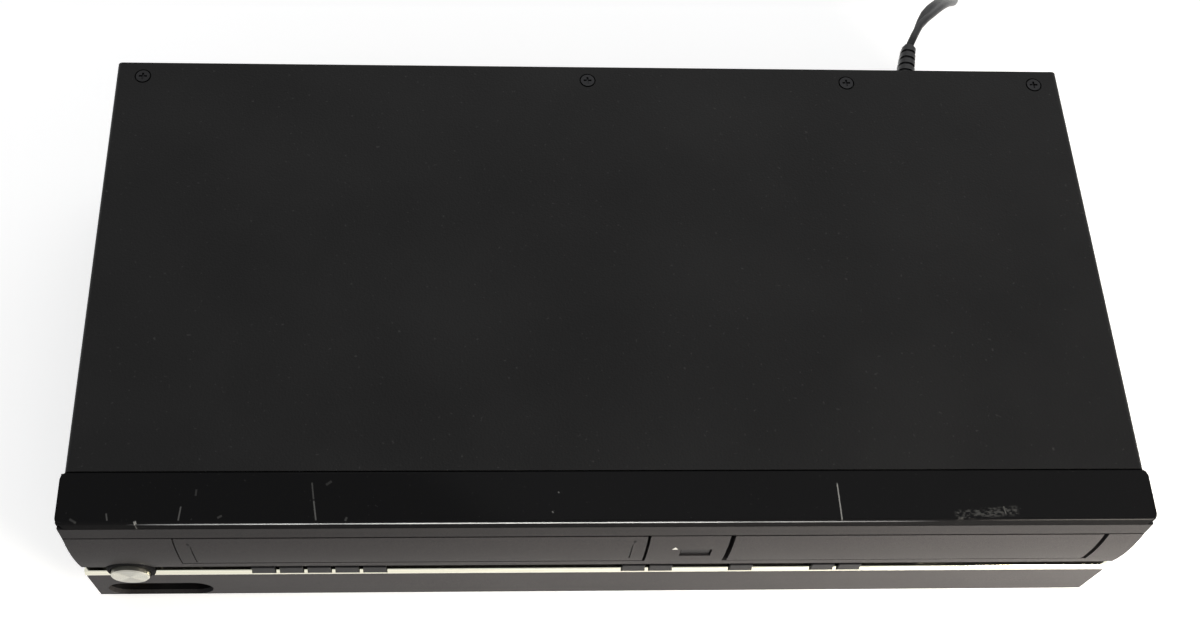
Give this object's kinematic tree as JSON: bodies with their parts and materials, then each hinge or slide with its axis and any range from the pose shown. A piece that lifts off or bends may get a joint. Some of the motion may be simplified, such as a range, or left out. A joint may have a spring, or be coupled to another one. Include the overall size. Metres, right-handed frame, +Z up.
{
  "type": "disc and cassette combination player",
  "caption": "Low black full-width player with a cassette flap on the left, a sliding disc tray on the right, a bright strip with push buttons below, and a mains cord.",
  "frame": {"origin": "on the table, under the middle of the footprint, cord left out", "axes": "+X to the right of the front, +Y to the back, +Z up"},
  "size_m": [0.443, 0.5185, 0.0941],
  "materials": {
    "cover_paint": "textured black paint",
    "rear_paint": "satin black paint",
    "zinc_steel": "zinc plate",
    "gloss_black": "gloss",
    "gunmetal": "satin grey metallic paint",
    "bright_strip": "bright plated",
    "matt_black": "matt",
    "button_black": "satin",
    "spun_metal": "spun, radial sheen",
    "board_green": "solder mask",
    "board_tan": "bare laminate",
    "tray_black": "fine grain",
    "gear_white": "natural acetal",
    "pickup_grey": "satin",
    "drum_aluminium": "turned",
    "screw_black": "black zinc",
    "foot_rubber": "matt",
    "transformer_yellow": "tape",
    "capacitor_black": "sleeve",
    "nickel": "nickel plate",
    "jack_yellow": "satin",
    "jack_white": "satin",
    "jack_red": "satin",
    "cord_black": "satin vinyl"
  },
  "bodies": {
    "case": {"top_cover": "cover_paint", "bottom_chassis": "zinc_steel", "rear_panel": "rear_paint", "front_fascia": "gloss_black", "upper_trim": "gunmetal", "upper_front_panel": "gunmetal", "chrome_strip": "bright_strip", "lower_front_panel": "gunmetal", "jack_recess": "matt_black", "power_ring": "matt_black", "front_circuit_board": "board_green", "dvd_loader_frame": "tray_black", "deck_chassis": "zinc_steel", "lower_drum": "drum_aluminium", "case_screws": "screw_black", "rubber_feet": "foot_rubber", "main_circuit_board": "board_green", "power_supply_board": "board_tan", "transformer": "transformer_yellow", "power_capacitors": "capacitor_black", "rear_jack_housing": "matt_black", "rf_modulator": "zinc_steel", "f_connectors": "nickel", "jack_barrels": "nickel", "yellow_jack_inserts": "jack_yellow", "white_jack_inserts": "jack_white", "red_jack_inserts": "jack_red", "strain_relief": "cord_black", "power_cord": "cord_black", "cord_coil": "cord_black", "cord_tie": "cord_black", "mains_plug": "cord_black", "plug_blades": "nickel"},
    "cassette_door": {"cassette_door": "gunmetal"},
    "disc_tray": {"disc_tray": "tray_black", "tray_door": "gunmetal"},
    "tray_gear": {"tray_gear": "gear_white"},
    "disc_clamp": {"disc_clamp": "tray_black"},
    "traverse": {"traverse_frame": "zinc_steel"},
    "turntable": {"turntable": "tray_black"},
    "laser_pickup": {"laser_pickup": "pickup_grey"},
    "cassette_carriage": {"cassette_carriage": "zinc_steel"},
    "upper_drum": {"upper_drum": "drum_aluminium"},
    "supply_reel": {"supply_reel": "gear_white"},
    "take_up_reel": {"take_up_reel": "gear_white"},
    "capstan": {"capstan": "zinc_steel"},
    "pinch_arm": {"pinch_arm": "matt_black"},
    "power_button": {"power_button": "spun_metal"},
    "open_close_button": {"open_close_button": "button_black"},
    "vcr_eject_button": {"vcr_eject_button": "button_black"},
    "vcr_rewind_button": {"vcr_rewind_button": "button_black"},
    "vcr_play_button": {"vcr_play_button": "button_black"},
    "vcr_forward_button": {"vcr_forward_button": "button_black"},
    "vcr_record_button": {"vcr_record_button": "button_black"},
    "channel_down_button": {"channel_down_button": "button_black"},
    "channel_up_button": {"channel_up_button": "button_black"},
    "source_select_button": {"source_select_button": "button_black"},
    "dvd_stop_button": {"dvd_stop_button": "button_black"},
    "dvd_play_button": {"dvd_play_button": "button_black"}
  },
  "joints": [
    {"name": "vcr_eject_button_press", "type": "slide", "parent": "case", "child": "vcr_eject_button", "axis": [0, 1, 0], "range_m": [0, 0.0008], "stiffness_N_per_m": 500, "springref_m": -0.001},
    {"name": "vcr_rewind_button_press", "type": "slide", "parent": "case", "child": "vcr_rewind_button", "axis": [0, 1, 0], "range_m": [0, 0.0008], "stiffness_N_per_m": 500, "springref_m": -0.001},
    {"name": "vcr_play_button_press", "type": "slide", "parent": "case", "child": "vcr_play_button", "axis": [0, 1, 0], "range_m": [0, 0.0008], "stiffness_N_per_m": 500, "springref_m": -0.001},
    {"name": "vcr_forward_button_press", "type": "slide", "parent": "case", "child": "vcr_forward_button", "axis": [0, 1, 0], "range_m": [0, 0.0008], "stiffness_N_per_m": 500, "springref_m": -0.001},
    {"name": "vcr_record_button_press", "type": "slide", "parent": "case", "child": "vcr_record_button", "axis": [0, 1, 0], "range_m": [0, 0.0008], "stiffness_N_per_m": 500, "springref_m": -0.001},
    {"name": "channel_down_button_press", "type": "slide", "parent": "case", "child": "channel_down_button", "axis": [0, 1, 0], "range_m": [0, 0.0008], "stiffness_N_per_m": 500, "springref_m": -0.001},
    {"name": "channel_up_button_press", "type": "slide", "parent": "case", "child": "channel_up_button", "axis": [0, 1, 0], "range_m": [0, 0.0008], "stiffness_N_per_m": 500, "springref_m": -0.001},
    {"name": "source_select_button_press", "type": "slide", "parent": "case", "child": "source_select_button", "axis": [0, 1, 0], "range_m": [0, 0.0008], "stiffness_N_per_m": 500, "springref_m": -0.001},
    {"name": "dvd_stop_button_press", "type": "slide", "parent": "case", "child": "dvd_stop_button", "axis": [0, 1, 0], "range_m": [0, 0.0008], "stiffness_N_per_m": 500, "springref_m": -0.001},
    {"name": "dvd_play_button_press", "type": "slide", "parent": "case", "child": "dvd_play_button", "axis": [0, 1, 0], "range_m": [0, 0.0008], "stiffness_N_per_m": 500, "springref_m": -0.001},
    {"name": "open_close_button_press", "type": "slide", "parent": "case", "child": "open_close_button", "axis": [0, 1, 0], "range_m": [0, 0.0008], "stiffness_N_per_m": 500, "springref_m": -0.001},
    {"name": "power_button_press", "type": "slide", "parent": "case", "child": "power_button", "axis": [0, 1, 0], "range_m": [0, 0.0015], "stiffness_N_per_m": 500, "springref_m": -0.001},
    {"name": "cassette_door_hinge", "type": "hinge", "parent": "case", "child": "cassette_door", "pos_m": [-0.0797, -0.1083, 0.0836], "axis": [1, 0, 0], "range_deg": [0, 90], "stiffness_Nm_per_rad": 0.005, "springref_deg": -17.19},
    {"name": "disc_tray_slide", "type": "slide", "parent": "case", "child": "disc_tray", "axis": [0, -1, 0], "range_m": [0, 0.132]},
    {"name": "tray_gear_spin", "type": "hinge", "parent": "case", "child": "tray_gear", "pos_m": [0.0794, -0.092, 0.06], "axis": [0, 0, 1], "range_deg": [0, 841]},
    {"name": "disc_clamp_spin", "type": "hinge", "parent": "case", "child": "disc_clamp", "pos_m": [0.125, -0.044, 0.076], "axis": [0, 0, 1], "continuous": true},
    {"name": "traverse_lift", "type": "slide", "parent": "case", "child": "traverse", "axis": [0, 0, 1], "range_m": [0, 0.006]},
    {"name": "turntable_spin", "type": "hinge", "parent": "traverse", "child": "turntable", "pos_m": [0.125, -0.044, 0.056], "axis": [0, 0, 1], "continuous": true},
    {"name": "laser_pickup_slide", "type": "slide", "parent": "traverse", "child": "laser_pickup", "axis": [0, 1, 0], "range_m": [0, 0.031]},
    {"name": "cassette_carriage_slide", "type": "slide", "parent": "case", "child": "cassette_carriage", "axis": [0, 1, 0], "range_m": [0, 0.056]},
    {"name": "upper_drum_spin", "type": "hinge", "parent": "case", "child": "upper_drum", "pos_m": [-0.0797, 0.062, 0.0255], "axis": [0, -0.1045, 0.9945], "continuous": true},
    {"name": "supply_reel_spin", "type": "hinge", "parent": "case", "child": "supply_reel", "pos_m": [-0.1257, -0.022, 0.02], "axis": [0, 0, 1], "continuous": true},
    {"name": "take_up_reel_spin", "type": "hinge", "parent": "case", "child": "take_up_reel", "pos_m": [-0.0337, -0.022, 0.02], "axis": [0, 0, 1], "continuous": true},
    {"name": "capstan_spin", "type": "hinge", "parent": "case", "child": "capstan", "pos_m": [-0.01765, 0.04521, 0.02], "axis": [0, 0, 1], "continuous": true},
    {"name": "pinch_arm_swing", "type": "hinge", "parent": "case", "child": "pinch_arm", "pos_m": [0.002, 0.066, 0.02], "axis": [0, 0, -1], "range_deg": [0, 20], "stiffness_Nm_per_rad": 0.01, "springref_deg": -5.73}
  ],
  "couplings": [
    {"joint": "tray_gear_spin", "follows": "disc_tray_slide", "rad_per_m": 111.11}
  ]
}
